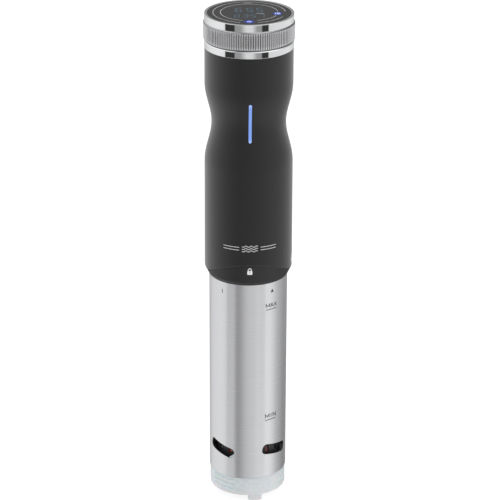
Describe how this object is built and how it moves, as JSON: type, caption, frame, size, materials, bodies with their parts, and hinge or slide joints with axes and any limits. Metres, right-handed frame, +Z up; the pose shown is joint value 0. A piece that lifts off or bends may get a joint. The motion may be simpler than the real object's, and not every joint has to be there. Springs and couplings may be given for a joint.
{
  "type": "sous vide circulator",
  "caption": "Upright immersion circulator: steel heater sleeve with water slots, waisted black grip, knurled dial under a round glass display, milky end cap and a spring pot clip.",
  "frame": {"origin": "centre of the end cap's base boss, in the plane of the feet", "axes": "+Z up along the sleeve axis, -Y to the front (padlock and light bar), +X to the right of someone facing the front"},
  "size_m": [0.068, 0.0876, 0.3918],
  "materials": {
    "glass": "smoked glass, printed and backed black, so it is opaque",
    "chrome": "bright chrome, finely turned",
    "dial_chrome": "satin chrome, knurled",
    "seal_rubber": "silicone rubber",
    "board": "green solder mask",
    "display_module": "dark filter",
    "spring_steel": "spring wire",
    "black_plastic": "moulded, fine texture",
    "magnet": "nickel plated",
    "screw_steel": "zinc plated",
    "grip_black": "soft-touch coat",
    "light": "lit blue light guide",
    "heat_sink": "extruded",
    "relay": "moulded case",
    "capacitor": "shrink sleeve",
    "transformer": "taped core",
    "fuse": "ceramic tube",
    "terminal": "moulded block",
    "motor": "zinc plated can",
    "shaft_steel": "ground stainless steel",
    "brass": "turned brass",
    "bush": "sintered bronze",
    "collar_black": "moulded, fine texture",
    "bulkhead": "glass-filled moulding",
    "impeller": "moulded",
    "heater": "annealed heater tube",
    "sleeve_steel": "brushed round the tube",
    "milky_plastic": "milky translucent moulding",
    "clip_black": "moulded, fine texture",
    "clip_rubber": "soft grip pad"
  },
  "bodies": {
    "head": {"display_glass": "glass", "glass_gasket": "seal_rubber", "bezel": "chrome", "display_board": "board", "digit_module": "display_module", "touch_springs": "spring_steel", "buzzer": "black_plastic", "head_frame": "black_plastic", "dial_glide_ring": "black_plastic", "dial_sensor_board": "board", "trim_band": "chrome", "head_screws": "screw_steel", "grip_shell": "grip_black", "light_bar": "light", "light_board": "board", "chassis": "black_plastic", "power_board": "board", "heat_sink": "heat_sink", "relay": "relay", "filter_capacitor": "capacitor", "transformer": "transformer", "fuse": "fuse", "terminal_block": "terminal", "board_screws": "screw_steel", "cord_gland": "black_plastic", "motor_can": "motor", "motor_screws": "screw_steel", "lock_collar": "collar_black", "chassis_screws": "screw_steel", "bulkhead": "bulkhead", "bulkhead_seal": "seal_rubber", "bulkhead_screws": "screw_steel", "shaft_seal": "seal_rubber", "shaft_bush": "bush", "heater": "heater", "heater_nuts": "brass", "temperature_probe": "shaft_steel", "level_electrodes": "shaft_steel", "support_rods": "shaft_steel", "flow_guide": "impeller", "clip_bracket": "clip_black", "clip_pin": "screw_steel", "clip_spring": "spring_steel", "clip_screws": "screw_steel"},
    "dial": {"dial_ring": "dial_chrome", "dial_magnets": "magnet"},
    "seat": {"sleeve_seat_ring": "black_plastic"},
    "sleeve": {"steel_sleeve": "sleeve_steel", "bayonet_ring": "black_plastic"},
    "cap": {"end_cap": "milky_plastic", "lower_bush": "bush"},
    "rotor": {"motor_shaft": "shaft_steel", "shaft_coupling": "brass", "drive_shaft": "shaft_steel", "impeller": "impeller", "impeller_clip": "spring_steel"},
    "clip": {"clip_lever": "clip_black", "clip_pad": "clip_rubber"}
  },
  "joints": [
    {"name": "dial_turn", "type": "hinge", "parent": "head", "child": "dial", "pos_m": [0, 0, 0.3722], "axis": [0, 0, 1], "continuous": true},
    {"name": "sleeve_twist", "type": "hinge", "parent": "head", "child": "seat", "pos_m": [0, 0, 0.186], "axis": [0, 0, 1], "range_deg": [-35.5, 42.5]},
    {"name": "sleeve_pull", "type": "slide", "parent": "seat", "child": "sleeve", "axis": [0, 0, -1], "range_m": [0, 0.19]},
    {"name": "cap_pull", "type": "slide", "parent": "sleeve", "child": "cap", "axis": [0, 0, -1], "range_m": [0, 0.025]},
    {"name": "rotor_spin", "type": "hinge", "parent": "head", "child": "rotor", "pos_m": [0, 0, 0.0427], "axis": [0, 0, 1], "continuous": true},
    {"name": "clip_squeeze", "type": "hinge", "parent": "head", "child": "clip", "pos_m": [0, 0.0415, 0.228], "axis": [1, 0, 0], "range_deg": [0, 20], "stiffness_Nm_per_rad": 0.6, "springref_deg": -14.32}
  ]
}
